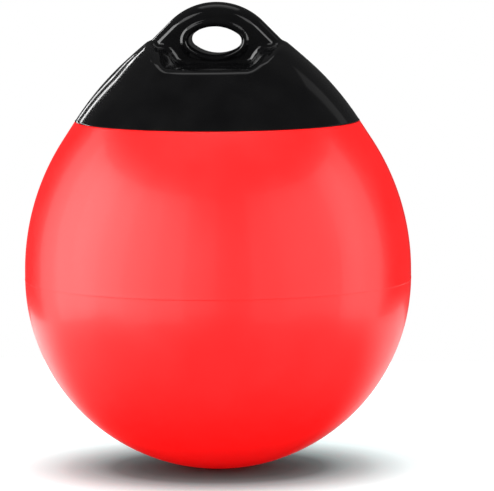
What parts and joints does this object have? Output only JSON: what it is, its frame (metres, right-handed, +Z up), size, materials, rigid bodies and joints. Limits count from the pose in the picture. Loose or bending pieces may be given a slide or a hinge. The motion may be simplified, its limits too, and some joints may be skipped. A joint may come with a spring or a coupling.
{
  "type": "mooring buoy",
  "caption": "Pear-shaped inflatable vinyl mooring buoy: a hollow red float under a black moulded head with a lipped rope eye and a needle valve at the back.",
  "frame": {"origin": "on the buoy's upright axis, at the water's surface when it floats empty", "axes": "+Z up through the lug's crown, rope eye along Y, front towards -Y, valve on the +Y side"},
  "size_m": [0.3007, 0.3008, 0.3629],
  "materials": {
    "red_vinyl": "glossy soft vinyl",
    "black_vinyl": "glossy moulded vinyl",
    "valve_plastic": "satin moulded plastic",
    "valve_rubber": "matt rubber"
  },
  "bodies": {
    "root": {"float_shell": "red_vinyl", "eye_head": "black_vinyl", "valve_bush": "valve_plastic", "valve_plug": "valve_rubber"}
  },
  "joints": []
}
